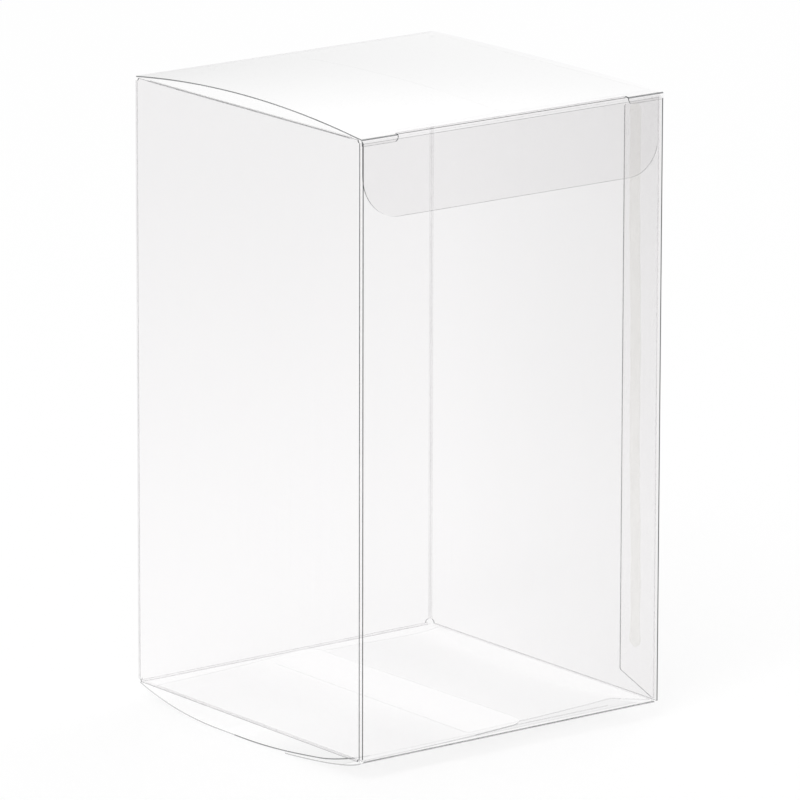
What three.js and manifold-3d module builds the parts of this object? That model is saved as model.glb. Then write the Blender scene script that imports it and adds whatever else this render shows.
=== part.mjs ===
// Clear folding gift box: one die-cut and scored sheet of clear plastic, folded into a square tube
// and glued along one inside flap. Millimetres, +Z up, origin at the bottom centre, on the surface
// that the box stands on. The front wall faces -Y and takes the tuck flap on its inside. The lid and
// the bottom panel fold on the back wall, and the lock flap under the bottom folds on the front wall.
import * as THREE from 'three';
import { mergeVertices } from 'three/addons/utils/BufferGeometryUtils.js';
import Module from 'manifold-3d';

const wasm = await Module();
wasm.setup();

// Tube
const sheet = 0.3; // thickness of the clear sheet
const width = 90; // along X, outside
const depth = 90; // along Y, outside
const wallHeight = 150; // lower to upper edge of the walls
const footHeight = 4.6; // score lines of the bottom panel and lock flap above the surface
const frontWallDrop = 0.9; // the front wall's raw upper edge below the other walls' edges

// Score lines and folds
const foldRadius = 0.6; // outside radius of a folded vertical edge
const beadRadius = 0.18; // bead of a score line that still hinges
const hingeGap = 0.3; // from a hinge axis to the panels on both sides of it
const reliefRadius = 0.7; // round relief where two score lines meet

// Glued seam, on the inside of the right wall
const glueThickness = 0.2;
const glueFlapWidth = 13.1;
const glueFlapTaper = 4.5; // rise of each sloping end over the flap's width
const glueFlapEndGap = 0.5; // sloping end to the wall's edge, at the fold
const adhesiveWidth = 3.6;
const adhesiveHighInset = 8.5; // from the fold to the middle of the strip
const adhesiveLowInset = 7.4;
const adhesiveLowGap = 11.5; // from the wall's lower edge to the blob
const adhesiveHighGap = 4;
const adhesiveBlobRadius = 2.2;

// Lid and tuck flap
const lidRise = 2.8; // height of the lid's crown over its two folds, at its left side
const lidRightRise = 0.5; // the lid is sprung, so its right side lies flatter
const lidInset = 0.1; // each side of the lid, in from the wall's outside
const lipLength = 10.6; // slit at each end of the tuck fold
const lipOverhang = 0.3; // tip of the lip, out past the front wall
const lipDrop = 0.9; // tip of the lip below the fold
const lipCorner = 0.6;
const tuckDepth = 19.8;
const tuckGap = 0.3; // tuck flap to the front wall
const tuckSideGap = 0.2; // tuck flap to the glue flap
const tuckStart = 0.7; // tuck fold to the flap's own edge, which leaves room to fold inwards
const tuckLeftCorner = 10.8;
const tuckRightCorner = 8.5;

// Flaps under the lid: they meet in the middle
const topFlapMeetGap = 0.6;
const topFlapTilt = THREE.MathUtils.degToRad(0.45); // sprung up towards the lid
const topFlapSideInset = 4.7; // from a wall's inside to the flap's side
const topFlapCorner = 4;

// Flaps over the bottom panel: the left one lies on the right one
const leftPastMiddle = 6;
const rightPastMiddle = 9.5;
const leftFlapTilt = THREE.MathUtils.degToRad(0.62);
const leftFrontInset = 1.2; // at the fold
const rightFrontInset = 2.5;
const bottomFlapEndInset = 4.7; // at the free end
const bottomFlapBackInset = 2.7; // at the fold
const bottomFlapCorner = 4.5;

// Bottom panel and lock flap
const panelInset = 0.4; // each side, in from the wall's outside
const panelShort = 8; // free edge to the outside of the front wall
const panelCorner = 8.5;
const panelRestGap = 0.45; // free edge over the lock flap
const footLength = 10; // flat strip that the box stands on
const footFromLock = 15; // end of the lock flap to that strip
const lockLength = 32;
const lockCorner = 2.5;
const lockCurve = 0.62; // share of the drop that the lock flap has made where it bends most
const lockBend = 0.19; // share of its length where it bends most

const curveSteps = 10; // facets of one bent stretch
const arcSteps = 6; // facets of one rounded corner

// Levels and places that follow
const wallLow = footHeight + hingeGap;
const wallHigh = wallLow + wallHeight;
const lidLevel = wallHigh + hingeGap;
const topFlapLevel = wallHigh - sheet / 2;
const bottomFlapLevel = wallLow + sheet / 2;
const halfWidth = width / 2;
const halfDepth = depth / 2;
const innerX = halfWidth - sheet;
const innerY = halfDepth - sheet;
const sideHingeX = innerX - hingeGap; // inside the wall, so that a flap can fold against it
const wallMiddleY = halfDepth - sheet / 2;
const tuckY = -(innerY - tuckGap - sheet / 2);
const glueX = innerX - glueThickness; // outside of the glue flap
const lipStart = halfWidth - lidInset - lipLength;
const lockEndY = -wallMiddleY + lockLength;
const footNearY = lockEndY + footFromLock;
const floorLevel = sheet / 2; // middle of a sheet that lies on the surface

const clearSheet = new THREE.MeshStandardMaterial({
  color: 0xf4f6f8, roughness: 0.06, metalness: 0, transparent: true, opacity: 0.28,
});
const foldedSheet = new THREE.MeshStandardMaterial({
  color: 0xc9cdd1, roughness: 0.12, metalness: 0, transparent: true, opacity: 0.5,
});
const driedGlue = new THREE.MeshStandardMaterial({
  color: 0xf1ece0, roughness: 0.35, metalness: 0, transparent: true, opacity: 0.5,
});

const box = new THREE.Group();

function addPiece(name, geometry, material) {
  const piece = new THREE.Mesh(geometry, material);
  piece.name = name;
  box.add(piece);
  return piece;
}

// Closed outline through corners [x, y, radius]; a radius over 0 rounds its corner.
function roundedOutline(corners) {
  const at = (i) => new THREE.Vector2(...corners[(i + corners.length) % corners.length].slice(0, 2));
  const points = corners.flatMap(([, , radius = 0], i) => {
    const corner = at(i);
    if (!radius) return [corner];
    const toBefore = at(i - 1).sub(corner).normalize();
    const toAfter = at(i + 1).sub(corner).normalize();
    const half = toBefore.angleTo(toAfter) / 2;
    const middle = toBefore.clone().add(toAfter).normalize();
    const centre = corner.clone().addScaledVector(middle, radius / Math.sin(half));
    const reach = radius / Math.tan(half);
    const start = corner.clone().addScaledVector(toBefore, reach).sub(centre).angle();
    const end = corner.clone().addScaledVector(toAfter, reach).sub(centre).angle();
    const turnsRight = toBefore.cross(toAfter) > 0;
    const arc = new THREE.EllipseCurve(centre.x, centre.y, radius, radius, start, end, turnsRight);
    return arc.getPoints(arcSteps);
  });
  return new THREE.Shape(points);
}

// Wall outline whose corners are cut by the round reliefs of the score lines: [low, high] corners
// at the bottom, then at the top, as radii.
function wallOutline(low, high, bottom, top, bottomReliefs, topReliefs) {
  const outline = new THREE.Shape();
  const corners = [
    [high, bottom, bottomReliefs[1], Math.PI],
    [high, top, topReliefs[1], 1.5 * Math.PI],
    [low, top, topReliefs[0], 2 * Math.PI],
    [low, bottom, bottomReliefs[0], Math.PI / 2],
  ];
  outline.moveTo(low + bottomReliefs[0], bottom);
  for (const [x, y, radius, start] of corners) {
    if (radius) outline.absarc(x, y, radius, start, start - Math.PI / 2, true);
    else outline.lineTo(x, y);
  }
  return outline;
}

function extrude(outline, length, steps = 1) {
  return new THREE.ExtrudeGeometry(outline, {
    depth: length, steps, bevelEnabled: false, curveSegments: arcSteps,
  });
}

// Outline in X and Z, as thick as the sheet, with its outer face at y.
function plateAcrossY(outline, y) {
  const turn = new THREE.Matrix4().makeRotationX(Math.PI / 2);
  const shift = y < 0 ? y + sheet : y;
  return extrude(outline, sheet).applyMatrix4(turn).translate(0, shift, 0);
}

// Outline in Y and Z, from x to x + thickness.
function plateAcrossX(outline, x, thickness, steps = 1) {
  const turn = new THREE.Matrix4().makeBasis(
    new THREE.Vector3(0, 1, 0), new THREE.Vector3(0, 0, 1), new THREE.Vector3(1, 0, 0));
  return extrude(outline, thickness, steps).applyMatrix4(turn).translate(x, 0, 0);
}

// The vertices and triangles of a geometry as a closed solid, and back.
function toSolid(geometry) {
  const bare = geometry.clone();
  bare.deleteAttribute('normal');
  bare.deleteAttribute('uv');
  const merged = mergeVertices(bare, 1e-5);
  return new wasm.Manifold(new wasm.Mesh({
    numProp: 3,
    vertProperties: merged.attributes.position.array,
    triVerts: merged.index.array,
  }));
}

function toGeometry(solid) {
  const mesh = solid.getMesh();
  const geometry = new THREE.BufferGeometry();
  geometry.setAttribute('position', new THREE.BufferAttribute(mesh.vertProperties, 3));
  geometry.setIndex(new THREE.BufferAttribute(mesh.triVerts, 1));
  geometry.computeVertexNormals();
  return geometry;
}

// A bent panel: the sheet follows a profile in Y and Z, and its plan outline in X and Y cuts it out.
// A twist, if any, is the height that a place (x, y) gains over the profile.
function bentPanel(profile, outline, twist) {
  const upper = [];
  const lower = [];
  profile.curves.forEach((curve, n) => {
    const steps = curve.isLineCurve ? 1 : curveSteps;
    for (let i = n ? 1 : 0; i <= steps; i += 1) {
      const point = curve.getPoint(i / steps);
      const along = curve.getTangent(i / steps);
      const across = new THREE.Vector2(-along.y, along.x).multiplyScalar(sheet / 2);
      upper.push(point.clone().add(across));
      lower.push(point.clone().sub(across));
    }
  });
  const section = new THREE.Shape([...upper, ...lower.reverse()]);
  const strip = plateAcrossX(section, -halfWidth, width, twist ? curveSteps : 1);
  if (twist) {
    const places = strip.attributes.position;
    for (let i = 0; i < places.count; i += 1) {
      places.setZ(i, places.getZ(i) + twist(places.getX(i), places.getY(i)));
    }
  }
  const tall = 2 * (wallHigh + width);
  const prism = extrude(outline, tall).translate(0, 0, -tall / 2);
  return toGeometry(toSolid(strip).intersect(toSolid(prism)));
}

function bead(length, axis) {
  const geometry = new THREE.CylinderGeometry(beadRadius, beadRadius, length, 10);
  return axis === 'x' ? geometry.rotateZ(Math.PI / 2) : geometry;
}

// Walls. The raw edge of the right wall covers the fold of the glue flap.
function addWalls() {
  const both = [reliefRadius, reliefRadius];
  const foldX = halfWidth - foldRadius;
  const foldY = halfDepth - foldRadius;
  const back = wallOutline(-foldX, foldX, wallLow, wallHigh, both, both);
  const front = wallOutline(-foldX, glueX - foldRadius, wallLow, wallHigh - frontWallDrop, both, [0, 0]);
  const left = wallOutline(-foldY, foldY, wallLow, wallHigh, both, both);
  const underLip = lipDrop + hingeGap;
  const right = wallOutline(
    -halfDepth, foldY, wallLow, wallHigh, [0, reliefRadius], [underLip, reliefRadius]);
  addPiece('front_wall', plateAcrossY(front, -halfDepth), clearSheet);
  addPiece('back_wall', plateAcrossY(back, halfDepth), clearSheet);
  addPiece('left_wall', plateAcrossX(left, -halfWidth, sheet), clearSheet);
  addPiece('right_wall', plateAcrossX(right, innerX, sheet), clearSheet);
}

// A vertical fold: a quarter ring whose two ends lie against the panels that it joins.
function addVerticalFold(name, centreX, centreY, start, top) {
  const ring = new THREE.Shape();
  ring.absarc(0, 0, foldRadius, start, start + Math.PI / 2, false);
  ring.absarc(0, 0, foldRadius - sheet, start + Math.PI / 2, start, true);
  const bottom = wallLow + reliefRadius;
  const geometry = extrude(ring, top - bottom).translate(centreX, centreY, bottom);
  addPiece(name, geometry, foldedSheet);
}

function addVerticalFolds() {
  const x = halfWidth - foldRadius;
  const y = halfDepth - foldRadius;
  const top = wallHigh - reliefRadius;
  addVerticalFold('back_right_crease', x, y, 0, top);
  addVerticalFold('back_left_crease', -x, y, Math.PI / 2, top);
  addVerticalFold('front_left_crease', -x, -y, Math.PI, top);
  addVerticalFold('front_right_crease', glueX - foldRadius, -y, 1.5 * Math.PI, wallHigh - frontWallDrop);
}

// The flap that closes the tube, with sloping ends, and the glue between it and the right wall.
function addGluedSeam() {
  const foldY = -(halfDepth - foldRadius);
  const edgeY = foldY + glueFlapWidth;
  const low = wallLow + glueFlapEndGap;
  const high = wallHigh - glueFlapEndGap;
  const flap = roundedOutline([
    [foldY, Math.max(low, wallLow + reliefRadius)],
    [foldY + 1, Math.max(low, wallLow + reliefRadius)],
    [edgeY, low + glueFlapTaper, 0.5],
    [edgeY, high - glueFlapTaper, 0.5],
    [foldY, high],
  ]);
  addPiece('glue_flap', plateAcrossX(flap, glueX - sheet, sheet), clearSheet);

  const half = adhesiveWidth / 2;
  const blobZ = wallLow + adhesiveLowGap + adhesiveBlobRadius;
  const neck = Math.acos(half / adhesiveBlobRadius);
  const strip = new THREE.Shape();
  strip.absarc(foldY + adhesiveHighInset, wallHigh - adhesiveHighGap - half, half, 0, Math.PI, false);
  strip.absarc(
    foldY + adhesiveLowInset, blobZ, adhesiveBlobRadius, Math.PI - neck, 2 * Math.PI + neck, false);
  addPiece('adhesive_strip', plateAcrossX(strip, glueX, glueThickness), driedGlue);
}

// Lid: crowned between its two folds, less so towards the right, with a lip at each end of the tuck
// fold that hangs over the front wall's edge where the fold is slit.
function addLid() {
  const backY = wallMiddleY - hingeGap;
  const frontY = tuckY + hingeGap;
  const tipY = -halfDepth - lipOverhang;
  const side = halfWidth - lidInset;
  const profile = new THREE.Path();
  const slope = (4 * lidRise) / (backY - frontY);
  const bendY = -(halfDepth - sheet / 2);
  profile.moveTo(backY, lidLevel);
  profile.quadraticCurveTo((backY + frontY) / 2, lidLevel + 2 * lidRise, frontY, lidLevel);
  profile.quadraticCurveTo(bendY, lidLevel - slope * (frontY - bendY), tipY, lidLevel - lipDrop);
  const beyond = tipY - sheet;
  const outline = roundedOutline([
    [-side, backY],
    [-side, beyond],
    [-lipStart, beyond, lipCorner],
    [-lipStart, frontY],
    [lipStart, frontY],
    [lipStart, beyond, lipCorner],
    [side, beyond],
    [side, backY],
  ]);
  const crown = (y) => Math.max((slope * (y - frontY) * (backY - y)) / (backY - frontY), 0);
  const flatter = (x, y) => (lidRightRise / lidRise - 1) * (x / width + 0.5) * crown(y);
  addPiece('top_lid', bentPanel(profile, outline, flatter), clearSheet);
  const lidFold = addPiece('lid_crease', bead(2 * (side - reliefRadius), 'x'), foldedSheet);
  lidFold.position.set(0, wallMiddleY, lidLevel);
}

function addTuckFlap() {
  const half = glueX - sheet - tuckSideGap;
  const outline = roundedOutline([
    [-half, -tuckStart],
    [-half, -tuckDepth, tuckLeftCorner],
    [half, -tuckDepth, tuckRightCorner],
    [half, -tuckStart],
  ]);
  const flap = extrude(outline, sheet).translate(0, 0, -sheet / 2).rotateX(Math.PI / 2);
  addPiece('tuck_flap', flap, clearSheet).position.set(0, tuckY, lidLevel);
  const fold = addPiece('tuck_crease', bead(2 * (lipStart - hingeGap), 'x'), foldedSheet);
  fold.position.set(0, tuckY, lidLevel);
}

// A side flap in its own hinge's place: side is -1 on the left wall and 1 on the right.
function addSideFlap(name, side, level, tilt, size) {
  const along = (u) => -side * u;
  const outline = roundedOutline([
    [along(hingeGap), -size.frontRoot],
    [along(size.length), -size.frontEnd, size.corner],
    [along(size.length), size.backEnd, size.corner],
    [along(hingeGap), size.backRoot],
  ]);
  const flap = addPiece(name, extrude(outline, sheet).translate(0, 0, -sheet / 2), clearSheet);
  flap.position.set(side * sideHingeX, 0, level);
  flap.rotation.y = side * tilt;
  const length = size.frontRoot + size.backRoot;
  const fold = addPiece(`${name}_crease`, bead(length, 'y'), foldedSheet);
  fold.position.set(side * sideHingeX, (size.backRoot - size.frontRoot) / 2, level);
}

function addTopFlaps() {
  const side = innerY - topFlapSideInset;
  const size = {
    length: sideHingeX - topFlapMeetGap / 2,
    frontRoot: side,
    frontEnd: side,
    backRoot: side,
    backEnd: side,
    corner: topFlapCorner,
  };
  addSideFlap('top_left_flap', -1, topFlapLevel, topFlapTilt, size);
  addSideFlap('top_right_flap', 1, topFlapLevel, topFlapTilt, size);
}

function addBottomFlaps() {
  const shared = {
    frontEnd: innerY - bottomFlapEndInset,
    backEnd: innerY - bottomFlapEndInset,
    backRoot: innerY - bottomFlapBackInset,
    corner: bottomFlapCorner,
  };
  const left = { ...shared, length: sideHingeX + leftPastMiddle, frontRoot: innerY - leftFrontInset };
  const right = { ...shared, length: sideHingeX + rightPastMiddle, frontRoot: innerY - rightFrontInset };
  addSideFlap('bottom_left_flap', -1, bottomFlapLevel, leftFlapTilt, left);
  addSideFlap('bottom_right_flap', 1, bottomFlapLevel, 0, right);
}

// Lock flap's profile: from its fold down to the surface.
function lockProfile() {
  const startY = -wallMiddleY + hingeGap;
  const drop = footHeight - floorLevel;
  const profile = new THREE.Path();
  profile.moveTo(startY, footHeight);
  profile.quadraticCurveTo(
    startY + lockBend * (lockEndY - startY), footHeight - lockCurve * drop, lockEndY, floorLevel);
  return profile;
}

// Height of a profile that has one curve, at a place along Y.
function heightAt(profile, y) {
  const [curve] = profile.curves;
  let low = 0;
  let high = 1;
  for (let i = 0; i < 40; i += 1) {
    const middle = (low + high) / 2;
    if (curve.getPoint(middle).x < y) low = middle;
    else high = middle;
  }
  return curve.getPoint(low).y;
}

// Bottom panel's profile: it bellies down to the flat strip that the box stands on, then rises and
// rests on the lock flap with its free edge.
function panelProfile() {
  const startY = wallMiddleY - hingeGap;
  const footFarY = footNearY + footLength;
  const edgeY = -halfDepth + panelShort;
  const edgeLevel = heightAt(lockProfile(), edgeY) + sheet + panelRestGap;
  const drop = footHeight - floorLevel;
  const mix = THREE.MathUtils.lerp;
  const profile = new THREE.Path();
  profile.moveTo(startY, footHeight);
  profile.bezierCurveTo(
    mix(startY, footFarY, 0.32), footHeight - 0.7 * drop, mix(startY, footFarY, 0.63), floorLevel,
    footFarY, floorLevel);
  profile.lineTo(footNearY, floorLevel);
  profile.bezierCurveTo(
    mix(footNearY, edgeY, 0.36), floorLevel, mix(footNearY, edgeY, 0.67), mix(floorLevel, edgeLevel, 0.52),
    edgeY, edgeLevel);
  return profile;
}

function addBottom() {
  const side = halfWidth - panelInset;
  const lockStartY = -wallMiddleY + hingeGap;
  const lockOutline = roundedOutline([
    [-side, lockStartY - sheet],
    [side, lockStartY - sheet],
    [side, lockEndY, lockCorner],
    [-side, lockEndY, lockCorner],
  ]);
  addPiece('bottom_lock_flap', bentPanel(lockProfile(), lockOutline), clearSheet);
  const edgeY = -halfDepth + panelShort;
  const panelOutline = roundedOutline([
    [-side, wallMiddleY],
    [-side, edgeY, panelCorner],
    [side, edgeY, panelCorner],
    [side, wallMiddleY],
  ]);
  addPiece('bottom_panel', bentPanel(panelProfile(), panelOutline), clearSheet);
  const length = 2 * (side - reliefRadius);
  const lockFold = addPiece('bottom_lock_flap_crease', bead(length, 'x'), foldedSheet);
  lockFold.position.set(0, -wallMiddleY, footHeight);
  const panelFold = addPiece('bottom_panel_crease', bead(length, 'x'), foldedSheet);
  panelFold.position.set(0, wallMiddleY, footHeight);
}

addWalls();
addVerticalFolds();
addGluedSeam();
addLid();
addTuckFlap();
addTopFlaps();
addBottomFlaps();
addBottom();

export default box;
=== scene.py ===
import math

import bmesh
import bpy
from mathutils import Matrix, Vector


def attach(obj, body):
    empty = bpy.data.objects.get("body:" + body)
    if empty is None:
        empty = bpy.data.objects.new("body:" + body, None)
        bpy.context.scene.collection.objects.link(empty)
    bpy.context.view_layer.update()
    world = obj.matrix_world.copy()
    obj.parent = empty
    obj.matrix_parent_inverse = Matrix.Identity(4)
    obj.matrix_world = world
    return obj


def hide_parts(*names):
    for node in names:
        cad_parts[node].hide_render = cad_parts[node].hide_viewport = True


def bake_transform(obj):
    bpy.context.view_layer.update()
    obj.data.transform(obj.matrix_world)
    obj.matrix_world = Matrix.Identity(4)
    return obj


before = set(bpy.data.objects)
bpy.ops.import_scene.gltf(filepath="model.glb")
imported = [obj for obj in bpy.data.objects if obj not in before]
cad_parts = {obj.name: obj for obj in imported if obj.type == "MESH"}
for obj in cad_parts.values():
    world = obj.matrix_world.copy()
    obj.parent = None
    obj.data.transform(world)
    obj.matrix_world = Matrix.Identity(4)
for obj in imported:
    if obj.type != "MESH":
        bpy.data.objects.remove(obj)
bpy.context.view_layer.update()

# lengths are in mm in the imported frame; the camera's, the studio's and the bumps' are in metres
mm = 0.001
sheetThickness = 0.3
foldLevel = 155.2  # score lines of the lid and the tuck flap
wallTop = 154.9
wallFoot = 4.9
wallMiddle = 44.85  # middle of the sheet in the front and back walls
foldCentre = 44.4  # centre of the vertical folds
seamCentre = 43.9  # and of the front right one, which leaves room for the glue flap's fold
scoreTail = 0.12  # flat part of a fold, beyond its bend
flapRoot = 44.1  # the flaps under the lid and in the base start here, beside their folds
boxWidth = 90
onLine = 0.1  # an edge's face this close to a line lies on it
atCorner = 1  # reach of a panel's corner, which holds its relief
cornerSteps = 14  # parts of a rounded corner
bendSteps = 6  # parts of a quarter turn in a fold or a relief

cameraLook = {  # fitted to the box corners in the photograph
    "azimuth": -37.4021,
    "elevation": 13.9156,
    "roll": 0.1236,
    "place": (-1.24987, -1.63578, 0.58757),
    "lens": 396.6,
}


def addCamera(look):
    az, el, roll = (math.radians(look[k]) for k in ("azimuth", "elevation", "roll"))
    forward = Vector((-math.sin(az) * math.cos(el), math.cos(az) * math.cos(el), -math.sin(el)))
    level = Vector((math.cos(az), math.sin(az), 0))
    right = Matrix.Rotation(-roll, 3, forward) @ level
    up = right.cross(forward)
    camera = bpy.data.objects.new("camera", bpy.data.cameras.new("camera"))
    turn = Matrix((right, up, -forward)).transposed().to_4x4()
    camera.matrix_world = Matrix.Translation(look["place"]) @ turn
    camera.data.sensor_width = 36
    camera.data.lens = look["lens"]
    camera.data.clip_end = 60
    bpy.context.scene.collection.objects.link(camera)
    bpy.context.scene.camera = camera


addCamera(cameraLook)
print("camera in place")


def addNode(tree, kind, links=None, **settings):
    node = tree.nodes.new(kind)
    for key, value in settings.items():
        setattr(node, key, value)
    for socket, value in (links or {}).items():
        target = node.inputs[socket]
        if isinstance(value, bpy.types.NodeSocket):
            tree.links.new(value, target)
        else:
            target.default_value = value
    return node


def startMaterial(name, shade):
    material = bpy.data.materials.new(name)
    material.use_nodes = True
    material.diffuse_color = shade
    material.node_tree.nodes.clear()
    return material, material.node_tree


def calculate(tree, operation, a, b=0.0, clamp=False):
    return addNode(tree, "ShaderNodeMath", {0: a, 1: b}, operation=operation, use_clamp=clamp).outputs[0]


def remap(tree, value, fromLow, fromHigh, toLow, toHigh, smooth=False):
    kind = "SMOOTHSTEP" if smooth else "LINEAR"
    return addNode(tree, "ShaderNodeMapRange", {
        "Value": value, "From Min": fromLow, "From Max": fromHigh, "To Min": toLow, "To Max": toHigh,
    }, interpolation_type=kind).outputs["Result"]


def objectCoords(tree):
    return addNode(tree, "ShaderNodeTexCoord").outputs["Object"]


def stretched(tree, coords, scale, turn=(0, 0, 0)):
    return addNode(tree, "ShaderNodeMapping", {
        "Vector": coords, "Scale": scale, "Rotation": turn}).outputs["Vector"]


def cloud(tree, coords, scale, detail, rough):
    return addNode(tree, "ShaderNodeTexNoise", {
        "Vector": coords, "Scale": scale, "Detail": detail, "Roughness": rough}).outputs["Fac"]


# parts of a noise's range that hold most of its values
fineNoise = (0.3, 0.7)
slowNoise = (0.35, 0.65)


def bumped(tree, height, strength, depth):
    return addNode(tree, "ShaderNodeBump", {
        "Strength": strength, "Distance": depth, "Height": height}).outputs["Normal"]


def mixNumbers(tree, share, first, second):
    return addNode(tree, "ShaderNodeMix", {
        "Factor": share, 2: first, 3: second}, data_type="FLOAT").outputs[0]


def mixShaders(tree, share, first, second):
    return addNode(tree, "ShaderNodeMixShader", {0: share, 1: first, 2: second}).outputs[0]


def clearShader(tree, colour=(1, 1, 1, 1)):
    return addNode(tree, "ShaderNodeBsdfTransparent", {"Color": colour}).outputs[0]


def frostedShader(tree, colour, roughness, normal, specular=0.5):
    return addNode(tree, "ShaderNodeBsdfPrincipled", {
        "Base Color": colour, "Roughness": roughness, "Normal": normal, "Specular IOR Level": specular,
    }).outputs[0]


def facingOut(tree):
    backfacing = addNode(tree, "ShaderNodeNewGeometry").outputs["Backfacing"]
    return calculate(tree, "SUBTRACT", 1.0, backfacing)


def finishMaterial(tree, surface):
    addNode(tree, "ShaderNodeOutputMaterial", {"Surface": surface})


# smudges, draw lines, scratches and waves are noises: scale, detail and roughness
sheetLook = {
    "tint": (0.998, 0.993, 0.995, 1),
    "gluedTint": (0.985, 0.980, 0.981, 1),
    "ior": 1.57,
    "grazing": 0.62,  # extra mirror where the sheet is seen nearly edge on
    "grazingFrom": (0.15, 0.29),  # it comes in between these Fresnel values
    "roughness": (0.02, 0.07),
    "smudges": (34.0, 3.0, 0.55),
    "drawLines": (1.0, 2.0, 0.6),
    "drawScale": (7.0, 1400.0),  # along and across the way that the sheet was drawn
    "drawHeight": 0.012,
    "haze": (0.002, 0.012),
    "hazeFrom": (0.15, 0.4),
    "hazeColour": (0.86, 0.87, 0.88, 1),
    "scratches": (1.0, 1.0, 0.5),
    "scratchScale": (420.0, 420.0, 9.0),
    "scratchTurn": (0.35, 0.5, 0.2),
    "scratchFrom": (0.73, 0.78),
    "scratchHaze": 0.01,
    "waves": (16.0, 1.0, 0.4),
    "waveStrength": 0.12,
    "waveDepth": 0.0006,
}

# places in mm along an axis, and how much of its clearness a sheet keeps there: painted shade, darkening
# the right wall towards the front and the base flaps in bands along X
shadeFades = {
    "seam": ("Y", ((-45, 0.90), (38, 1.0))),
    "leftBase": ("X", ((-44, 0.90), (-25, 0.86), (-14, 0.93), (-6, 1.0))),
    "rightBase": ("X", ((-8, 0.95), (8, 0.90), (20, 0.83), (32, 0.86), (38, 0.96), (44, 0.98))),
}


# painted shade: a tint that darkens the sheet between the given places
def shadedTint(tree, coords, shadeFade):
    axis, stops = shadeFade
    low, high = stops[0][0], stops[-1][0]
    along = addNode(tree, "ShaderNodeSeparateXYZ", {0: coords}).outputs[axis]
    share = remap(tree, along, mm * low, mm * high, 0.0, 1.0)
    ramp = addNode(tree, "ShaderNodeValToRGB", {"Fac": share})
    elements = ramp.color_ramp.elements
    for stop in stops[1:-1]:
        elements.new((stop[0] - low) / (high - low))
    for mark, stop in zip(elements, stops):
        mark.color = [stop[1] * part for part in sheetLook["tint"][:3]] + [1]
    return ramp.outputs["Color"]


# the outer face carries the mirror of both faces, the inner one only passes light
def makeClearSheet(name, drawAxis, tint=sheetLook["tint"], shadeFade=None):
    material, tree = startMaterial(name, (0.95, 0.96, 0.97, 0.25))
    coords = objectCoords(tree)
    if shadeFade:
        tint = shadedTint(tree, coords, shadeFade)
    facing = facingOut(tree)
    smudges = cloud(tree, coords, *sheetLook["smudges"])
    alongDraw, acrossDraw = sheetLook["drawScale"]
    drawScale = [acrossDraw] * 3
    drawScale[drawAxis] = alongDraw
    drawLines = cloud(tree, stretched(tree, coords, drawScale), *sheetLook["drawLines"])
    scratchCoords = stretched(tree, coords, sheetLook["scratchScale"], sheetLook["scratchTurn"])
    specks = cloud(tree, scratchCoords, *sheetLook["scratches"])
    scratches = remap(tree, specks, *sheetLook["scratchFrom"], 0.0, 1.0)
    waves = cloud(tree, coords, *sheetLook["waves"])
    drawn = calculate(tree, "MULTIPLY", drawLines, sheetLook["drawHeight"])
    height = calculate(tree, "ADD", waves, drawn)
    normal = bumped(tree, height, sheetLook["waveStrength"], sheetLook["waveDepth"])
    fresnel = addNode(tree, "ShaderNodeFresnel", {"IOR": sheetLook["ior"], "Normal": normal}).outputs[0]
    twice = calculate(tree, "MULTIPLY", fresnel, 2.0)
    mirror = calculate(tree, "DIVIDE", twice, calculate(tree, "ADD", fresnel, 1.0))
    grazing = remap(tree, fresnel, *sheetLook["grazingFrom"], 0.0, sheetLook["grazing"], True)
    rest = calculate(tree, "SUBTRACT", 1.0, mirror)
    mirror = calculate(tree, "ADD", mirror, calculate(tree, "MULTIPLY", rest, grazing))
    handled = calculate(tree, "MULTIPLY", smudges, drawLines)
    haze = remap(tree, handled, *sheetLook["hazeFrom"], *sheetLook["haze"])
    haze = calculate(tree, "ADD", haze, calculate(tree, "MULTIPLY", scratches, sheetLook["scratchHaze"]))
    through = clearShader(tree, tint)
    milky = addNode(tree, "ShaderNodeBsdfDiffuse", {"Color": sheetLook["hazeColour"]}).outputs[0]
    roughness = remap(tree, smudges, *fineNoise, *sheetLook["roughness"])
    gloss = addNode(tree, "ShaderNodeBsdfGlossy", {
        "Color": (1, 1, 1, 1), "Roughness": roughness, "Normal": normal}).outputs[0]
    body = mixShaders(tree, calculate(tree, "MULTIPLY", haze, facing), through, milky)
    front = mixShaders(tree, mirror, body, gloss)
    finishMaterial(tree, mixShaders(tree, facing, clearShader(tree), front))
    return material


crazeDepth = 0.0001

# cut edges: a nicked, frosted face that covers part of what is behind it; their near-black colours are
# painted shade for the dark lines that refraction gives along a clear sheet's cut edges, and each edge's
# kind follows how dark it shows in this view
edgeGrain = {"nicks": (900.0, 3.0, 0.6), "runs": (45.0, 2.0, 0.5), "roughness": (0.25, 0.45),
             "specular": 0.25, "bump": 0.25}
edgeLooks = {
    "rawEdge": {"colour": (0.07, 0.074, 0.078, 1), "cover": (0.90, 1.0)},
    "softEdge": {"colour": (0.12, 0.125, 0.13, 1), "cover": (0.72, 0.86)},
    "thinEdge": {"colour": (0.12, 0.125, 0.13, 1), "cover": (0.34, 0.52)},
    "faintEdge": {"colour": (0.30, 0.31, 0.32, 1), "cover": (0.14, 0.24)},
}


def makeCutEdge(name):
    look = edgeLooks[name]
    material, tree = startMaterial(name, (0.6, 0.62, 0.64, 0.7))
    coords = objectCoords(tree)
    nicks = cloud(tree, coords, *edgeGrain["nicks"])
    runs = cloud(tree, coords, *edgeGrain["runs"])
    normal = bumped(tree, nicks, edgeGrain["bump"], crazeDepth)
    roughness = remap(tree, nicks, *fineNoise, *edgeGrain["roughness"])
    solid = frostedShader(tree, look["colour"], roughness, normal, edgeGrain["specular"])
    low, high = look["cover"]
    cover = remap(tree, runs, *slowNoise, high, low)
    finishMaterial(tree, mixShaders(tree, cover, clearShader(tree), solid))
    return material
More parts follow.
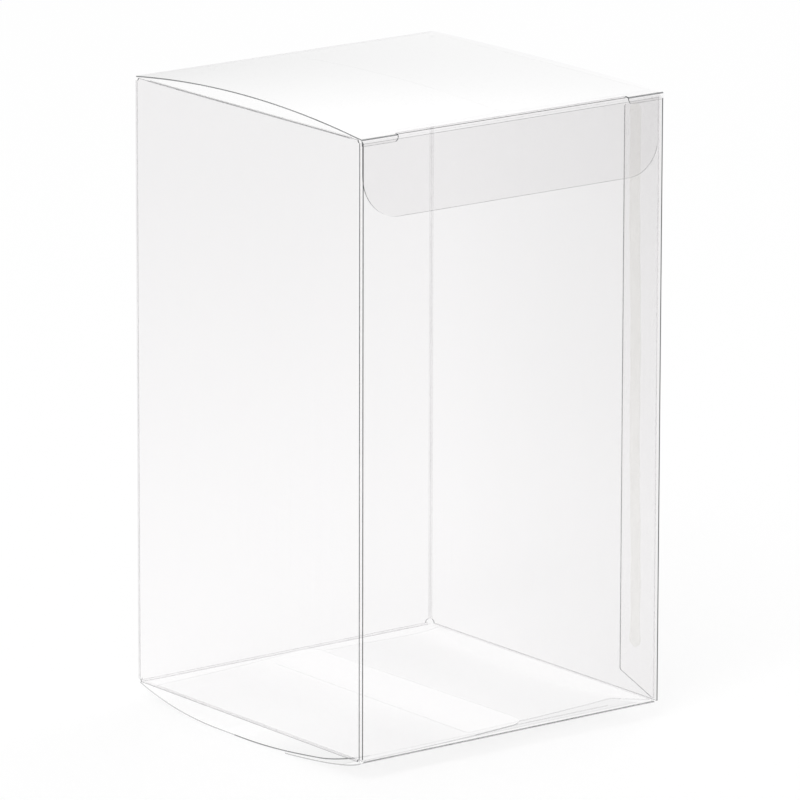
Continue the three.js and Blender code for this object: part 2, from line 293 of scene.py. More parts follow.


# folds: clear where the sheet bends, with a crazed line at each side of the bend whose dark colour is
# painted shade for the dark lines refraction gives along a score
foldGrain = {"crazing": (1300.0, 3.0, 0.65), "runs": (60.0, 2.0, 0.5), "specular": 0.3, "bump": 0.3}
foldLooks = {
    "bentSheet": {"colour": (0.62, 0.63, 0.645, 1), "cover": (0.03, 0.10), "roughness": (0.08, 0.2)},
    "darkestScore": {"colour": (0.05, 0.052, 0.056, 1), "cover": (0.86, 0.97), "roughness": (0.25, 0.4)},
    "scoreLine": {"colour": (0.10, 0.105, 0.11, 1), "cover": (0.5, 0.75), "roughness": (0.25, 0.4)},
    "faintScore": {"colour": (0.25, 0.26, 0.27, 1), "cover": (0.18, 0.31), "roughness": (0.25, 0.4)},
}


def makeFoldSurface(name):
    look = foldLooks[name]
    material, tree = startMaterial(name, (0.7, 0.72, 0.74, 0.6))
    coords = objectCoords(tree)
    crazing = cloud(tree, coords, *foldGrain["crazing"])
    runs = cloud(tree, coords, *foldGrain["runs"])
    normal = bumped(tree, crazing, foldGrain["bump"], crazeDepth)
    roughness = remap(tree, crazing, *fineNoise, *look["roughness"])
    solid = frostedShader(tree, look["colour"], roughness, normal, foldGrain["specular"])
    mixed = calculate(tree, "MULTIPLY", calculate(tree, "ADD", crazing, runs), 0.5)
    cover = calculate(tree, "MULTIPLY", remap(tree, mixed, *slowNoise, *look["cover"]), facingOut(tree))
    finishMaterial(tree, mixShaders(tree, cover, clearShader(tree, sheetLook["tint"]), solid))
    return material


glueLook = {
    "tint": (0.960, 0.958, 0.935, 1),
    "colour": (0.72, 0.69, 0.64, 1),
    "cover": (0.02, 0.10),
    "flow": (260.0, 3.0, 0.6),
    "flowStretch": (1, 1, 0.3),
    "bump": 0.4,
    "bubbleScale": 700.0,
    "bubbles": (0.1, 0.6),
    "roughness": (0.25, 0.5),
}


def makeDriedGlue():
    material, tree = startMaterial("driedGlue", (0.94, 0.92, 0.88, 0.5))
    coords = objectCoords(tree)
    facing = facingOut(tree)
    flow = cloud(tree, stretched(tree, coords, glueLook["flowStretch"]), *glueLook["flow"])
    bubbles = addNode(tree, "ShaderNodeTexVoronoi", {
        "Vector": coords, "Scale": glueLook["bubbleScale"]}, feature="SMOOTH_F1").outputs["Distance"]
    normal = bumped(tree, flow, glueLook["bump"], crazeDepth)
    roughness = remap(tree, bubbles, *glueLook["bubbles"], *glueLook["roughness"])
    solid = frostedShader(tree, glueLook["colour"], roughness, normal)
    cover = remap(tree, flow, *fineNoise, *glueLook["cover"])
    front = mixShaders(tree, cover, clearShader(tree, glueLook["tint"]), solid)
    finishMaterial(tree, mixShaders(tree, facing, clearShader(tree), front))
    return material


wallSheet = makeClearSheet("wallClearSheet", 2)
# the right wall's sheet, with painted shade that darkens it towards the front
shadedRightWallSheet = makeClearSheet("shadedRightWallClearSheet", 2, shadeFade=shadeFades["seam"])
gluedSheet = makeClearSheet("gluedClearSheet", 2, sheetLook["gluedTint"])
lidSheet = makeClearSheet("lidClearSheet", 1)
flapSheet = makeClearSheet("flapClearSheet", 0)
# the base flaps' sheets, with painted shade in bands across them
leftBaseSheet = makeClearSheet("leftBaseClearSheet", 0, shadeFade=shadeFades["leftBase"])
rightBaseSheet = makeClearSheet("rightBaseClearSheet", 0, shadeFade=shadeFades["rightBase"])
edges = [makeCutEdge(name) for name in edgeLooks]
bare, raw, soft, thin, faint = range(5)  # the sheet, then the cut edges, in a panel's material list
bentSheet, darkestScore, scoreLine, faintScore = (
    makeFoldSurface(name) for name in ("bentSheet", "darkestScore", "scoreLine", "faintScore"))
driedGlue = makeDriedGlue()
print("materials made")


def outlinePanel(points):
    bm = bmesh.new()
    bm.faces.new([bm.verts.new((x, y, 0)) for x, y in points])
    return bm


def roundedPanel(corners):
    bm = outlinePanel([corner[:2] for corner in corners])
    bm.verts.ensure_lookup_table()
    rounds = {}
    for vert, corner in zip(bm.verts[:], corners):
        if corner[2]:
            rounds.setdefault(corner[2], []).append(vert)
    for radius, found in rounds.items():
        bmesh.ops.bevel(bm, geom=found, offset=radius, segments=cornerSteps, profile=0.5,
                        affect="VERTICES", material=-1)
    return bm


def cutAcross(bm, axis, low, high, count):
    direction = Vector((axis == 0, axis == 1, axis == 2))
    for i in range(1, count):
        place = direction * (low + (high - low) * i / count)
        everything = bm.verts[:] + bm.edges[:] + bm.faces[:]
        bmesh.ops.bisect_plane(bm, geom=everything, plane_co=place, plane_no=direction, dist=1e-4)


def thicken(bm, thickness=sheetThickness):
    bmesh.ops.recalc_face_normals(bm, faces=bm.faces[:])
    bm.normal_update()
    for vert in bm.verts:
        vert.co += vert.normal * (thickness / 2)
    bmesh.ops.solidify(bm, geom=bm.faces[:], thickness=thickness)
    bmesh.ops.recalc_face_normals(bm, faces=bm.faces[:])
    bm.normal_update()
    for face in bm.faces:
        face.material_index = bare


flatEnough = 0.6  # height of the normal that tells a panel's faces from its cut edges


def markEdges(bm, kindAt):
    for face in bm.faces:
        if abs(face.normal.z) < flatEnough:
            face.material_index = kindAt(face.calc_center_median())


sharpAngle = math.radians(30)


def placePiece(name, bm, materials, replaced, body=None):
    bmesh.ops.scale(bm, vec=(mm, mm, mm), verts=bm.verts[:])
    mesh = bpy.data.meshes.new(name)
    bm.to_mesh(mesh)
    bm.free()
    for material in materials:
        mesh.materials.append(material)
    mesh.shade_smooth()
    mesh.set_sharp_from_angle(angle=sharpAngle)
    piece = bpy.data.objects.new(name, mesh)
    bpy.context.scene.collection.objects.link(piece)
    piece.visible_glossy = False  # clear sheet hardly mirrors itself
    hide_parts(replaced)
    if body:
        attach(piece, body)
    return piece


def quadratic(points, t):
    a, b, c = (Vector(p) for p in points)
    return a.lerp(b, t).lerp(b.lerp(c, t), t)


def cubic(points, t):
    a, b, c, d = (Vector(p) for p in points)
    return quadratic((a, b, c), t).lerp(quadratic((b, c, d), t), t)


halvings = 40
tiny = 1e-6


# height of a chain of curves in Y and Z, at a place along Y
def heightOn(curves, y):
    for curve in curves:
        at = quadratic if len(curve) == 3 else cubic
        start, end = curve[0][0], curve[-1][0]
        if not min(start, end) - tiny <= y <= max(start, end) + tiny:
            continue
        low, high = 0.0, 1.0
        for step in range(halvings):
            middle = (low + high) / 2
            if (at(curve, middle).x < y) == (start < end):
                low = middle
            else:
                high = middle
        return at(curve, low).y
    ends = [point for curve in curves for point in (curve[0], curve[-1])]
    return min(ends, key=lambda point: abs(point[0] - y))[1]


walls = {
    "outside": 45.0,
    "end": foldCentre - scoreTail,
    "seamEnd": seamCentre - scoreTail,
    "frontTop": 154.0,
    "relief": 0.7,
    "eye": 0.95,  # the relief at the rear right foot, which shows as a round eye
    "lipRelief": 1.2,
}


# a wall's corner with the round relief where two score lines meet
def reliefArc(corner, inX, inY, radius, swap):
    if not radius:
        return [corner]
    angles = [math.radians(90 * i / bendSteps) for i in range(bendSteps + 1)]
    x, y = corner
    line = [(x + inX * radius * math.cos(a), y + inY * radius * math.sin(a)) for a in angles]
    return line[::-1] if swap else line


def wallPanel(low, high, bottom, top, reliefs):
    lowBottom, highBottom, highTop, lowTop = reliefs
    return outlinePanel(
        reliefArc((low, bottom), 1, 1, lowBottom, True)
        + reliefArc((high, bottom), -1, 1, highBottom, False)
        + reliefArc((high, top), -1, -1, highTop, True)
        + reliefArc((low, top), 1, -1, lowTop, False))


# local X and Y of a standing panel become the given axis and Z
def standUp(bm, along, place):
    if along == "x":
        turn = Matrix(((1, 0, 0), (0, 0, -1), (0, 1, 0))).to_4x4()
    else:
        turn = Matrix(((0, 0, 1), (1, 0, 0), (0, 1, 0))).to_4x4()
    bmesh.ops.transform(bm, matrix=Matrix.Translation(place) @ turn, verts=bm.verts[:])


def makeWall(name, node, bm, along, place, kindAt, sheet=wallSheet):
    thicken(bm)
    markEdges(bm, kindAt)
    standUp(bm, along, place)
    placePiece(name, bm, [sheet] + edges, node, "tube")


# the round reliefs at the walls' feet show as small dark eyes
def inFootRelief(p):
    return p.y < wallFoot + atCorner and abs(p.x) > walls["end"] - atCorner


def makeWalls():
    end, relief, eye, middle = walls["end"], walls["relief"], walls["eye"], wallMiddle
    front = wallPanel(-end, walls["seamEnd"], wallFoot, walls["frontTop"], (relief, relief, 0, 0))
    makeWall("frontWall", "front_wall", front, "x", (0, -middle, 0),
             lambda p: raw if p.y > walls["frontTop"] - onLine else faint)
    back = wallPanel(-end, end, wallFoot, wallTop, (relief, eye, relief, relief))
    makeWall("backWall", "back_wall", back, "x", (0, middle, 0),
             lambda p: soft if inFootRelief(p) else faint)
    left = wallPanel(-end, end, wallFoot, wallTop, (relief, relief, relief, relief))
    makeWall("leftWall", "left_wall", left, "y", (-middle, 0, 0),
             lambda p: faint if abs(p.x) > end - onLine else raw if p.y > wallTop - atCorner else soft)
    frontEnd = -walls["outside"]
    right = wallPanel(frontEnd, end, wallFoot, wallTop, (0, eye, relief, walls["lipRelief"]))
    makeWall("rightWall", "right_wall", right, "y", (middle, 0, 0),
             lambda p: raw if p.x < frontEnd + onLine else soft if p.y < wallFoot + atCorner else faint,
             shadedRightWallSheet)


makeWalls()

glueFlap = {
    "x": 44.35,
    "edge": -31.3,
    "foot": 5.6,
    "footFlat": 1,
    "low": 9.9,
    "high": 149.9,
    "top": 153.9,
    "corner": 0.5,
}


def makeGlueFlap():
    look = glueFlap
    root = -walls["end"]
    bm = roundedPanel([
        (root, look["foot"], 0), (root + look["footFlat"], look["foot"], 0),
        (look["edge"], look["low"], look["corner"]), (look["edge"], look["high"], look["corner"]),
        (root, look["top"], 0),
    ])
    makeWall("glueFlap", "glue_flap", bm, "y", (look["x"], 0, 0),
             lambda p: faint if p.x < root + onLine else soft, gluedSheet)


makeGlueFlap()

adhesive = {
    "x": 44.6,
    "thickness": 0.18,
    "low": 16.5,
    "high": 151.3,
    "lowY": -36.75,
    "highY": -34.95,
    "wander": (0.18, 0.11, 0.6),  # a wave's size, its rate per mm of height, and its start
    "lowHalf": 1.75,
    "highHalf": 2.0,
    "slowSwell": (0.05, 0.43, 0),
    "quickSwell": (0.03, 1.7, 1),
    "blobRadius": 2.15,
    "tipSquare": 0.004,  # square of the half width that is left at the ends
    "steps": 150,
}


def wave(look, z):
    size, rate, start = look
    return size * math.sin(rate * z + start)


# a hand-laid bead, pressed flat: it wanders a little and ends in a drop
def makeAdhesive():
    look = adhesive
    bm = bmesh.new()
    bmesh.ops.create_grid(bm, x_segments=4, y_segments=look["steps"], size=0.5)
    length, blob = look["high"] - look["low"], look["blobRadius"]
    for vert in bm.verts:
        side, along = 2 * vert.co.x, vert.co.y + 0.5
        z = look["low"] + length * along
        fromLow, fromHigh = z - look["low"], look["high"] - z
        half = look["lowHalf"] + (look["highHalf"] - look["lowHalf"]) * along
        full = half
        half *= 1 + wave(look["slowSwell"], z) + wave(look["quickSwell"], z)
        if fromLow < 2 * blob:
            drop = math.sqrt(max(blob ** 2 - (fromLow - blob) ** 2, look["tipSquare"]))
            half = drop if fromLow < blob else max(drop, half)
        rounded = fromHigh * (2 * full - min(fromHigh, full))
        half = min(half, math.sqrt(max(rounded, look["tipSquare"])))
        middle = look["lowY"] + (look["highY"] - look["lowY"]) * along + wave(look["wander"], z)
        vert.co = (middle + side * half, z, 0)
    thicken(bm, look["thickness"])
    standUp(bm, "y", (look["x"], 0, 0))
    placePiece("adhesiveStrip", bm, [driedGlue], "adhesive_strip", "tube")


makeAdhesive()
print("walls and glued seam made")

lidBack = 44.55
lid = {
    "side": 44.9,
    "backY": lidBack - scoreTail,
    "frontY": -43.95,
    "rise": 2.8,
    "rightRise": 0.5,  # the lid is sprung, so its right side lies flatter
    "lipStart": 34.3,
    "lipLength": 2.35,
    "lipCorner": 0.9,
    "lipPoints": ((-45.12, 0.02), (-45.22, 0.08), (-45.22, 1.65)),  # Y, and depth below the score line
    "lipStep": 0.01,  # share of a lip over which its slope is taken
    "crest": (0.85, 1.35),  # crazed part of a lip, from the lid's front edge, dark with painted shade where the lip bends
    "cutsAcross": 12,
    "cutsAlong": 36,
    "lipCuts": 20,
}
lidSpan = lidBack - lid["frontY"]
lidSlope = 4 * lid["rise"] / lidSpan
lidCurves = [[(lidBack, foldLevel), (lidBack - lidSpan / 2, foldLevel + 2 * lid["rise"]),
              (lid["frontY"], foldLevel)]]
lipCurve = [(lid["frontY"], foldLevel)] + [(y, foldLevel - depth) for y, depth in lid["lipPoints"]]


def lidHeight(x, y):
    height = heightOn(lidCurves, y)
    crown = max(lidSlope * (y - lid["frontY"]) * (lidBack - y) / lidSpan, 0)
    return height - (1 - lid["rightRise"] / lid["rise"]) * (x / boxWidth + 0.5) * crown


# the lips bend down over the front wall's upper edge
def bendLip(vert):
    t = (lid["frontY"] - vert.co.y) / lid["lipLength"]
    place = cubic(lipCurve, t)
    ahead = (cubic(lipCurve, t + lid["lipStep"]) - place).normalized()
    place += Vector((ahead.y, -ahead.x)) * vert.co.z
    vert.co = (vert.co.x, place.x, place.y)


def makeLid():
    side, start, tip = lid["side"], lid["lipStart"], lid["frontY"] - lid["lipLength"]
    front = lid["frontY"] + scoreTail
    bm = roundedPanel([
        (-side, lid["backY"], 0), (-side, tip, 0), (-start, tip, lid["lipCorner"]), (-start, front, 0),
        (start, front, 0), (start, tip, lid["lipCorner"]), (side, tip, 0), (side, lid["backY"], 0),
    ])
    cutAcross(bm, 0, -side, side, lid["cutsAcross"])
    cutAcross(bm, 1, front, lid["backY"], lid["cutsAlong"])
    cutAcross(bm, 1, tip, front, lid["lipCuts"])
    thicken(bm)
    markEdges(bm, lambda p: bare if p.x > side - onLine else soft if p.x < -side + onLine else
              raw if p.y < front - onLine else faint)
    low, high = (lid["frontY"] - reach for reach in lid["crest"][::-1])
    # painted shade: the band where the lip bends takes a dark edge colour
    for face in bm.faces:
        if face.normal.z > flatEnough and low < face.calc_center_median().y < high:
            face.material_index = soft
    for vert in bm.verts:
        if vert.co.y < lid["frontY"]:
            bendLip(vert)
        else:
            vert.co.z += lidHeight(vert.co.x, vert.co.y)
    placePiece("lid", bm, [lidSheet] + edges, "top_lid", "lid")


tuckBend = 0.7  # height of the tuck flap's fold
tuck = {
    "left": 44.0,
    "right": 44.1,
    "y": -44.25,
    "start": tuckBend + scoreTail,
    "depth": 19.8,
    "leftCorner": 10.8,
    "rightCorner": 8.5,
}


def makeTuckFlap():
    left, right, top = -tuck["left"], tuck["right"], foldLevel - tuck["start"]
    bm = roundedPanel([
        (left, top, 0), (left, foldLevel - tuck["depth"], tuck["leftCorner"]),
        (right, foldLevel - tuck["depth"], tuck["rightCorner"]), (right, top, 0),
    ])
    thicken(bm)
    markEdges(bm, lambda p: faint if p.y > top - onLine or p.x > right - 2 * onLine else
              thin if p.x > right - tuck["rightCorner"] else raw)
    standUp(bm, "x", (0, tuck["y"], 0))
    placePiece("tuckFlap", bm, [flapSheet] + edges, "tuck_flap", "tuck")


makeLid()
makeTuckFlap()
print("lid and tuck flap made")

dustFlap = {
    "root": flapRoot - scoreTail,
    "level": 154.75,
    "end": 0.3,
    "half": 40.0,
    "corner": 4.0,
    "underLid": 0.1,
    "ease": 0.35,  # share of its rise that starts and ends level
    "plain": -12.0,  # in front of this Y, a flap's pressed edge shows no line
    "cutsAlong": 14,
    "cutsAcross": 24,
}


# a flap under the lid is sprung up against it towards the middle
def makeDustFlap(name, side, body, node):
    look = dustFlap
    root, end, half = side * look["root"], side * look["end"], look["half"]
    bm = roundedPanel([(root, -half, 0), (end, -half, look["corner"]), (end, half, look["corner"]),
                       (root, half, 0)])
    cutAcross(bm, 0, root, end, look["cutsAlong"])
    cutAcross(bm, 1, -half, half, look["cutsAcross"])
    for vert in bm.verts:
        share = (vert.co.x - root) / (end - root)
        underside = lidHeight(vert.co.x, vert.co.y) - sheetThickness - look["underLid"]
        eased = look["ease"] * share * share * (3 - 2 * share) + (1 - look["ease"]) * share
        vert.co.z = look["level"] + (underside - look["level"]) * eased
    thicken(bm)
    markEdges(bm, lambda p: faint if p.y > look["plain"] and p.x < look["root"] - atCorner else bare)
    placePiece(name, bm, [flapSheet] + edges, node, body)


makeDustFlap("topLeftFlap", -1, "top_left", "top_left_flap")
makeDustFlap("topRightFlap", 1, "top_right", "top_right_flap")
print("dust flaps made")

baseFlap = {"hingeX": 44.4, "level": 5.05, "root": 0.3 + scoreTail, "cuts": 40}
baseFlaps = [  # outlines run from the front of the root: distance from the hinge, Y, corner radius
    {"name": "bottomLeftFlap", "node": "bottom_left_flap", "body": "bottom_left", "side": -1,
     "sheet": leftBaseSheet, "frontRoot": 44.2, "backRoot": 38.2, "backFold": 42.0,
     "outline": [(50.6, -43.7, 5.0), (49.3, 40.9, 4.0)],
     "curl": 1.0, "dip": 0, "dark": (34.0, -43.0)},  # past this distance and Y its edge shows darker, as painted shade
    {"name": "bottomRightFlap", "node": "bottom_right_flap", "body": "bottom_right", "side": 1,
     "sheet": rightBaseSheet, "frontRoot": 43.2, "backRoot": 40.0, "backFold": 42.0,
     "outline": [(6.2, -35.0, 1.5), (31.4, -38.7, 0), (53.6, -40.0, 1.5), (53.6, 39.4, 4.0)],
     "curl": 0, "dip": 0.7, "dark": None},
]
curlReach = 50
curlPower = 2.5
dipReach = 10.0


# the left flap curls up towards its free end, and the right one dips beside its fold
def baseHeight(flap, reach):
    u = reach / dipReach
    return flap["curl"] * (reach / curlReach) ** curlPower - flap["dip"] * u * math.exp(1 - u)


def makeBaseFlap(flap):
    side, root, level = flap["side"], baseFlap["root"], baseFlap["level"]
    line = [(root, -flap["frontRoot"], 0)] + flap["outline"] + [(root, flap["backRoot"], 0)]
    bm = roundedPanel(line)
    cutAcross(bm, 0, root, max(p[0] for p in line), baseFlap["cuts"])
    for vert in bm.verts:
        vert.co.z = baseHeight(flap, vert.co.x)
    thicken(bm)
    dark = flap["dark"]
    markEdges(bm, lambda p: thin if dark and p.x > dark[0] and p.y < dark[1] else faint)
    for vert in bm.verts:
        vert.co.x = side * (baseFlap["hingeX"] - vert.co.x)
        vert.co.z += level
    if side > 0:
        bmesh.ops.reverse_faces(bm, faces=bm.faces[:])
    placePiece(flap["name"], bm, [flap["sheet"]] + edges, flap["node"], flap["body"])


for flap in baseFlaps:
    makeBaseFlap(flap)
print("base flaps made")

footHeight = 4.6
onFloor = sheetThickness / 2
footDrop = footHeight - onFloor
lockFlap = {
    "side": 44.6,
    "startY": -44.55,
    "endY": -12.85,
    "bend": 0.19,
    "curve": 0.62,
    "corner": 2.5,
    "cuts": 24,
}
lockCurves = [[
    (lockFlap["startY"], footHeight),
    (lockFlap["startY"] + lockFlap["bend"] * (lockFlap["endY"] - lockFlap["startY"]),
     footHeight - lockFlap["curve"] * footDrop),
    (lockFlap["endY"], onFloor),
]]
bottomPanel = {
    "side": 44.6,
    "startY": 44.55,
    "footFar": 12.15,
    "footNear": 2.15,
    "endY": -37.0,
    "belly": (0.32, 0.63),  # shares of the way down to the flat strip where the curve is held
    "bellyDrop": 0.7,
    "rise": (0.36, 0.67),  # shares of the way from the strip up to the free end
    "riseLevel": 0.52,
    "restGap": 0.45,
    "corner": 8.5,
    "cuts": 40,
    "darkTo": 5.0,  # in front of this Y the left side's line is darker, as painted shade
}


def between(a, b, share):
    return a + (b - a) * share


# bellied down to the flat strip that the box stands on, then up to just above the lock flap
def panelCurves():
    look = bottomPanel
    start, far, near, end = (look[k] for k in ("startY", "footFar", "footNear", "endY"))
    edgeLevel = heightOn(lockCurves, end) + sheetThickness + look["restGap"]
    bellyLevel = footHeight - look["bellyDrop"] * footDrop
    riseLevel = between(onFloor, edgeLevel, look["riseLevel"])
    bellyStart, bellyEnd = (between(start, far, share) for share in look["belly"])
    riseStart, riseEnd = (between(near, end, share) for share in look["rise"])
    return [
        [(start, footHeight), (bellyStart, bellyLevel), (bellyEnd, onFloor), (far, onFloor)],
        [(far, onFloor), ((far + near) / 2, onFloor), (near, onFloor)],
        [(near, onFloor), (riseStart, onFloor), (riseEnd, riseLevel), (end, edgeLevel)],
    ]


def makeBentPanel(name, look, curves, kindAt, node, body):
    side, end = look["side"], look["endY"]
    start = look["startY"] + math.copysign(scoreTail, end - look["startY"])
    bm = roundedPanel([(-side, start, 0), (-side, end, look["corner"]), (side, end, look["corner"]),
                       (side, start, 0)])
    cutAcross(bm, 1, start, end, look["cuts"])
    for vert in bm.verts:
        vert.co.z = heightOn(curves, vert.co.y)
    thicken(bm)
    markEdges(bm, kindAt)
    placePiece(name, bm, [lidSheet] + edges, node, body)


makeBentPanel("bottomLockFlap", lockFlap, lockCurves,
              lambda p: thin if p.x < lockFlap["corner"] - lockFlap["side"] else faint,
              "bottom_lock_flap", "lock")


# the left side shows as a line of painted shade that darkens towards the front, the right side leaves
# none
def panelEdge(p):
    straight = bottomPanel["side"] - bottomPanel["corner"]
    if p.x < -straight:
        return soft if p.y < bottomPanel["darkTo"] else thin
    return bare if p.x > straight else faint


makeBentPanel("bottomPanel", bottomPanel, panelCurves(), panelEdge, "bottom_panel", "bottom")
print("bottom panel and lock flap made")


def arc(centre, radius, start, end):
    angles = [math.radians(start + (end - start) * i / bendSteps) for i in range(bendSteps + 1)]
    return [(centre[0] + radius * math.cos(a), centre[1] + radius * math.sin(a)) for a in angles]


halfStep = math.radians(90 / bendSteps / 2)
tails = (0, bendSteps + 1)  # flat parts at the ends of a quarter turn's section


# a fold's section with a flat tail at each end, in line with the panels beside it
def foldSection(points):
    first, last = Vector(points[0]), Vector(points[-1])
    before = (first - Vector(points[1])).normalized()
    after = (last - Vector(points[-2])).normalized()
    curved = len(points) > bendSteps
    turn = Matrix.Rotation(halfStep, 2) if curved else Matrix.Identity(2)
    curl = before.cross(Vector(points[2]) - first)
    turnBefore, turnAfter = (turn, turn.inverted()) if curl > 0 else (turn.inverted(), turn)
    return [first + turnBefore @ before * scoreTail] + [Vector(p) for p in points] + [
        last + turnAfter @ after * scoreTail]


# X, Y and Z of a fold along each axis, from its section (0 and 1) and its length (2)
axisOrder = {"x": (2, 0, 1), "y": (0, 2, 1), "z": (0, 1, 2)}


# the scored parts of the section carry the crazed line and its painted shade: unless given, the two at
# each side
def makeFold(name, node, along, ends, points, score, scored=None, bend=None):
    section = foldSection(points)
    middles = [(a + b) / 2 for a, b in zip(section, section[1:])]
    if not scored:
        scored = (0, 1, len(middles) - 2, len(middles) - 1)
    bm = bmesh.new()
    line = [bm.verts.new((p.x, p.y, ends[0])) for p in section]
    strip = [bm.edges.new(pair) for pair in zip(line, line[1:])]
    grown = bmesh.ops.extrude_edge_only(bm, edges=strip)["geom"]
    moved = [item for item in grown if isinstance(item, bmesh.types.BMVert)]
    bmesh.ops.translate(bm, vec=(0, 0, ends[1] - ends[0]), verts=moved)
    thicken(bm)
    for face in bm.faces:
        place = face.calc_center_median().to_2d()
        nearest = min(range(len(middles)), key=lambda i: (middles[i] - place).length)
        face.material_index = int(nearest in scored)
    order = axisOrder[along]
    for vert in bm.verts:
        vert.co = [vert.co[i] for i in order]
    bmesh.ops.recalc_face_normals(bm, faces=bm.faces[:])
    piece = placePiece(name, bm, [bentSheet, score], node, None if bend else "tube")
    if bend:
        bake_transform(piece)


folds = {
    "radius": 0.45,  # vertical folds, to the middle of the sheet
    "hingeRadius": 0.3,
    "foot": 5.6,
    "top": 154.2,
    "lidHalf": 44.2,
    "tuckHalf": 34.0,
    "tuckScored": (4, 5, 6),
    "baseHalf": 43.9,
    "wallSide": 44.7,  # wall end of the flaps' folds
}


def makeVerticalFolds():
    c, r, ends = foldCentre, folds["radius"], (folds["foot"], folds["top"])
    makeFold("backRightFold", "back_right_crease", "z", (wallFoot + walls["eye"], folds["top"]),
             arc((c, c), r, 0, 90), faintScore, range(1, bendSteps + 1))
    makeFold("backLeftFold", "back_left_crease", "z", ends, arc((-c, c), r, 90, 180), faintScore)
    makeFold("frontLeftFold", "front_left_crease", "z", ends, arc((-c, -c), r, 180, 270), darkestScore)
    makeFold("frontRightFold", "front_right_crease", "z", (folds["foot"], walls["frontTop"]),
             arc((seamCentre, -c), r, 270, 360), bentSheet)


def makeHingeFolds():
    r, back, front = folds["hingeRadius"], wallMiddle, -wallMiddle
    inBack, inFront = back - r, front + r
    half = folds["lidHalf"]
    makeFold("lidFold", "lid_crease", "x", (-half, half), arc((inBack, wallTop), r, 0, 90),
             faintScore, tails, bend=("tube", "lid", (0, back, wallTop), (0, inBack, foldLevel)))
    half, y = folds["tuckHalf"], tuck["y"]
    bent = arc((y + r, wallTop), r, 90, 180)
    down = (y, foldLevel - tuckBend)
    makeFold("tuckFold", "tuck_crease", "x", (-half, half), bent + [down],
             darkestScore, folds["tuckScored"], bend=("lid", "tuck", (0, y + r, foldLevel), (0, *down)))
    half = folds["baseHalf"]
    makeFold("lockFold", "bottom_lock_flap_crease", "x", (-half, half),
             arc((inFront, wallFoot), r, 180, 270), scoreLine,
             bend=("tube", "lock", (0, front, wallFoot), (0, inFront, footHeight)))
    makeFold("panelFold", "bottom_panel_crease", "x", (-half, half), arc((inBack, wallFoot), r, 0, -90),
             faintScore, tails, bend=("tube", "bottom", (0, back, wallFoot), (0, inBack, footHeight)))


def makeSideFold(name, node, side, level, front, rear, body, score):
    wall, flap = side * (folds["wallSide"] - scoreTail), side * flapRoot
    points = [(wall, level), ((wall + flap) / 2, level), (flap, level)]
    makeFold(name, node, "y", (-front, rear), points, score, (0, 1) if side > 0 else (0, 3),
             bend=("tube", body, (wall, 0, level), (flap, 0, level)))


makeVerticalFolds()
makeHingeFolds()
for word, side, score in (("left", -1, scoreLine), ("right", 1, bentSheet)):
    makeSideFold("top" + word.title() + "Fold", "top_" + word + "_flap_crease", side, dustFlap["level"],
                 dustFlap["half"], dustFlap["half"], "top_" + word, score)
for flap in baseFlaps:
    makeSideFold(flap["name"].replace("Flap", "Fold"), flap["node"] + "_crease", flap["side"],
                 baseFlap["level"], flap["frontRoot"], flap["backFold"], flap["body"], faintScore)
print("folds made")

studio = {
    "floorSize": 14.0,
    "floorColour": (0.93, 0.93, 0.93, 1),
    "shadowShare": 0.22,
    "nearGloss": 1.0,
    "farGloss": 0.55,
    "glossReach": (0.05, 0.66),  # distances between which the mirrored floor darkens
    "frontGloss": 0.79,
    "frontReach": (0.1, -0.3),  # Y between which it also darkens towards the front
    "sky": ((0.03, 0.86), (0.3, 1.02), (0.5, 1.1)),  # height of the mirrored direction, and its level
    "worldLight": 0.6,
    "lamps": {
        "keyLamp": {"place": (-2.2, -1.6, 3.4), "size": 2.2, "power": 88.0},
        "fillLamp": {"place": (2.6, 1.4, 3.2), "size": 2.6, "power": 42.0},
    },
    "aim": (0, 0, 0.08),  # near the box's middle
}


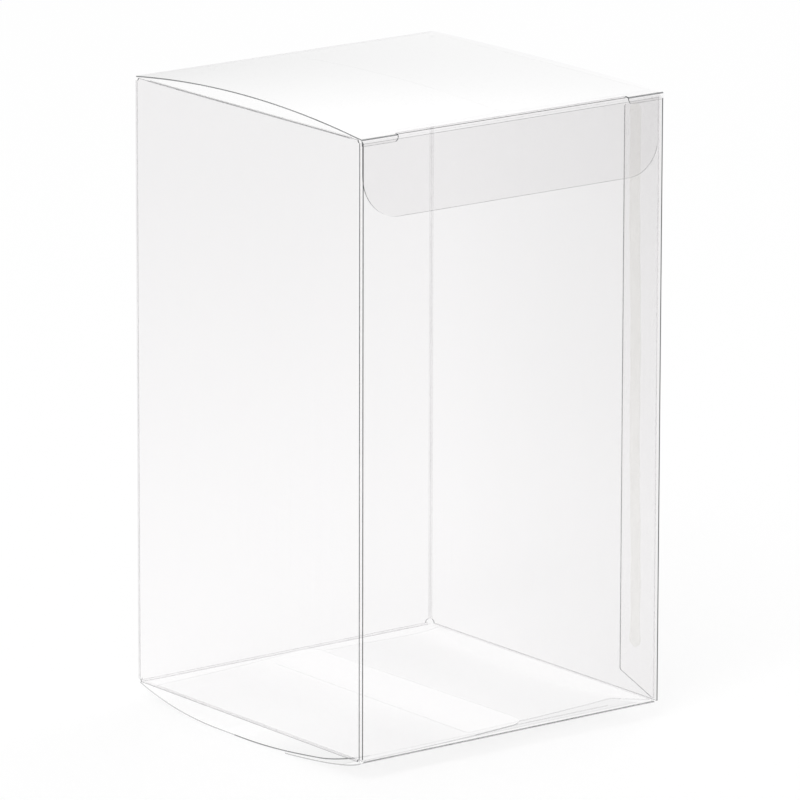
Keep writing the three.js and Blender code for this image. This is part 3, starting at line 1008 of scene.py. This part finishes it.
# white floor: the sheet mirrors it darker with distance, as it mirrors the far side of a light tent
def makeFloor():
    bm = bmesh.new()
    bmesh.ops.create_grid(bm, x_segments=1, y_segments=1, size=studio["floorSize"] / 2)
    mesh = bpy.data.meshes.new("floor")
    bm.to_mesh(mesh)
    bm.free()
    floor = bpy.data.objects.new("floor", mesh)
    bpy.context.scene.collection.objects.link(floor)
    material, tree = startMaterial("paleFloor", (1, 1, 1, 1))
    path = addNode(tree, "ShaderNodeLightPath")
    coords = objectCoords(tree)
    distance = addNode(tree, "ShaderNodeVectorMath", {0: coords}, operation="LENGTH").outputs["Value"]
    fall = remap(tree, distance, *studio["glossReach"], studio["nearGloss"], studio["farGloss"])
    along = addNode(tree, "ShaderNodeSeparateXYZ", {0: coords}).outputs["Y"]
    front = remap(tree, along, *studio["frontReach"], 1.0, studio["frontGloss"])
    level = mixNumbers(tree, path.outputs["Is Glossy Ray"], 1.0, calculate(tree, "MULTIPLY", fall, front))
    white = addNode(tree, "ShaderNodeEmission", {"Color": (1, 1, 1, 1), "Strength": level}).outputs[0]
    lit = addNode(tree, "ShaderNodeBsdfDiffuse", {"Color": studio["floorColour"]}).outputs[0]
    seen = calculate(tree, "MULTIPLY", path.outputs["Is Camera Ray"], 1.0 - studio["shadowShare"])
    seen = calculate(tree, "ADD", seen, path.outputs["Is Glossy Ray"], True)
    seen = calculate(tree, "ADD", seen, path.outputs["Is Transmission Ray"], True)
    finishMaterial(tree, mixShaders(tree, seen, lit, white))
    mesh.materials.append(material)


# white where it is seen straight or through the sheet, while its mirrored level rises with height
def makeWorld():
    world = bpy.data.worlds.new("studio")
    world.use_nodes = True
    tree = world.node_tree
    tree.nodes.clear()
    bpy.context.scene.world = world
    path = addNode(tree, "ShaderNodeLightPath")
    up = addNode(tree, "ShaderNodeSeparateXYZ", {
        0: addNode(tree, "ShaderNodeTexCoord").outputs["Generated"]}).outputs["Z"]
    (low, lowLevel), (middle, middleLevel), (high, highLevel) = studio["sky"]
    sky = calculate(tree, "ADD", remap(tree, up, low, middle, lowLevel, middleLevel),
                    remap(tree, up, middle, high, 0.0, highLevel - middleLevel))
    straight = calculate(
        tree, "ADD", path.outputs["Is Camera Ray"], path.outputs["Is Transmission Ray"], True)
    level = mixNumbers(tree, path.outputs["Is Glossy Ray"], studio["worldLight"], sky)
    level = mixNumbers(tree, straight, level, 1.0)
    back = addNode(tree, "ShaderNodeBackground", {"Color": (1, 1, 1, 1), "Strength": level}).outputs[0]
    addNode(tree, "ShaderNodeOutputWorld", {"Surface": back})


def addLamp(name, look):
    lamp = bpy.data.objects.new(name, bpy.data.lights.new(name, "AREA"))
    lamp.data.shape = "DISK"
    lamp.data.size = look["size"]
    lamp.data.energy = look["power"]
    aim = Vector(studio["aim"]) - Vector(look["place"])
    turn = aim.to_track_quat("-Z", "Y").to_matrix().to_4x4()
    lamp.matrix_world = Matrix.Translation(look["place"]) @ turn
    lamp.visible_camera = False
    lamp.visible_glossy = False
    bpy.context.scene.collection.objects.link(lamp)


makeFloor()
makeWorld()
for name, look in studio["lamps"].items():
    addLamp(name, look)

scene = bpy.context.scene
scene.view_settings.view_transform = "Standard"
scene.cycles.transparent_max_bounces = 64
scene.cycles.glossy_bounces = 6
print("studio made")
